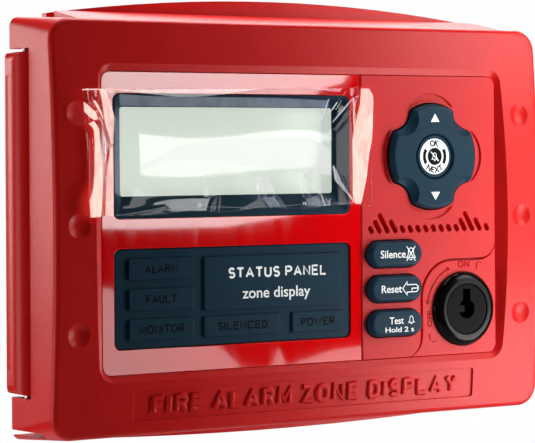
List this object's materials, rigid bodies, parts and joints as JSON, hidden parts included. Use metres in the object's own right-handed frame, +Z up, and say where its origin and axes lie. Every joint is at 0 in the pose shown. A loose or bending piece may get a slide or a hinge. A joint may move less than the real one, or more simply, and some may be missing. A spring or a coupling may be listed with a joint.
{
  "type": "fire alarm indicator panel",
  "caption": "Wall-mounted fire alarm annunciator: hinged red case with LCD, labelled indicator window, rocking pad, push keys, sounder slots and key switch.",
  "frame": {"origin": "centre of the wall-screw pattern on the backplate's rear face", "axes": "+Z up the wall, +X to the right seen from the front, +Y into the wall; the front faces -Y"},
  "size_m": [0.1831, 0.0273, 0.1351],
  "materials": {
    "case_red": "fine spark-textured moulded plastic, satin",
    "gloss_red": "polished",
    "satin_red": "satin",
    "navy": "satin",
    "clear": "clear acrylic",
    "clear_film": "thin clear film",
    "lcd": "pale liquid-crystal cell",
    "white_plastic": "matte",
    "steel": "zinc plated",
    "pin_metal": "nickel plated",
    "circuit_board": "solder mask",
    "black_plastic": "gloss black",
    "can_metal": "drawn can",
    "terminal_green": "moulded",
    "silicone": "translucent silicone",
    "led_lens": "moulded lens"
  },
  "bodies": {
    "base": {"backplate": "case_red"},
    "cover": {"front_cover": "case_red", "hinge_pin_upper": "steel", "hinge_pin_lower": "steel", "display_panel": "gloss_red", "keypad_panel": "satin_red", "lock_panel": "satin_red", "display_frame": "navy", "display_window": "clear", "lcd_bezel": "steel", "lcd_glass": "lcd", "lcd_backlight": "white_plastic", "lcd_board": "circuit_board", "lcd_header": "black_plastic", "lcd_screws": "steel", "label_window": "navy", "led_light_guide": "white_plastic", "indicator_leds": "led_lens", "keypad_mat": "silicone", "keypad_board": "circuit_board", "keypad_header": "black_plastic", "keypad_screws": "steel", "key_switch_body": "black_plastic", "lock_nut": "pin_metal", "contact_block": "black_plastic", "main_board": "circuit_board", "board_screws": "steel", "board_chips": "black_plastic", "capacitors": "can_metal", "piezo_sounder": "black_plastic", "terminal_block": "terminal_green", "terminal_screws": "steel", "protective_film": "clear_film"},
    "nav_pad": {"nav_pad": "navy"},
    "ack_button": {"ack_button": "navy"},
    "silence_button": {"silence_button": "navy"},
    "reset_button": {"reset_button": "navy"},
    "test_button": {"test_button": "navy"},
    "key_plug": {"key_plug": "black_plastic"}
  },
  "joints": [
    {"name": "cover_hinge", "type": "hinge", "parent": "base", "child": "cover", "pos_m": [-0.0876, -0.006, 0], "axis": [0, 0, -1], "range_deg": [0, 100]},
    {"name": "nav_rock", "type": "hinge", "parent": "cover", "child": "nav_pad", "pos_m": [0.0467, -0.019, 0.0204], "axis": [1, 0, 0], "range_deg": [-2.5, 2.5], "stiffness_Nm_per_rad": 0.1, "deforming": ["keypad_mat"]},
    {"name": "ack_press", "type": "slide", "parent": "nav_pad", "child": "ack_button", "axis": [0, 1, 0], "range_m": [0, 0.0008], "stiffness_N_per_m": 300, "deforming": ["keypad_mat"]},
    {"name": "silence_press", "type": "slide", "parent": "cover", "child": "silence_button", "axis": [0, 1, 0], "range_m": [0, 0.001], "stiffness_N_per_m": 300, "deforming": ["keypad_mat"]},
    {"name": "reset_press", "type": "slide", "parent": "cover", "child": "reset_button", "axis": [0, 1, 0], "range_m": [0, 0.001], "stiffness_N_per_m": 300, "deforming": ["keypad_mat"]},
    {"name": "test_press", "type": "slide", "parent": "cover", "child": "test_button", "axis": [0, 1, 0], "range_m": [0, 0.001], "stiffness_N_per_m": 300, "deforming": ["keypad_mat"]},
    {"name": "key_turn", "type": "hinge", "parent": "cover", "child": "key_plug", "pos_m": [0.0589, 0, -0.0287], "axis": [0, -1, 0], "range_deg": [0, 90]}
  ]
}
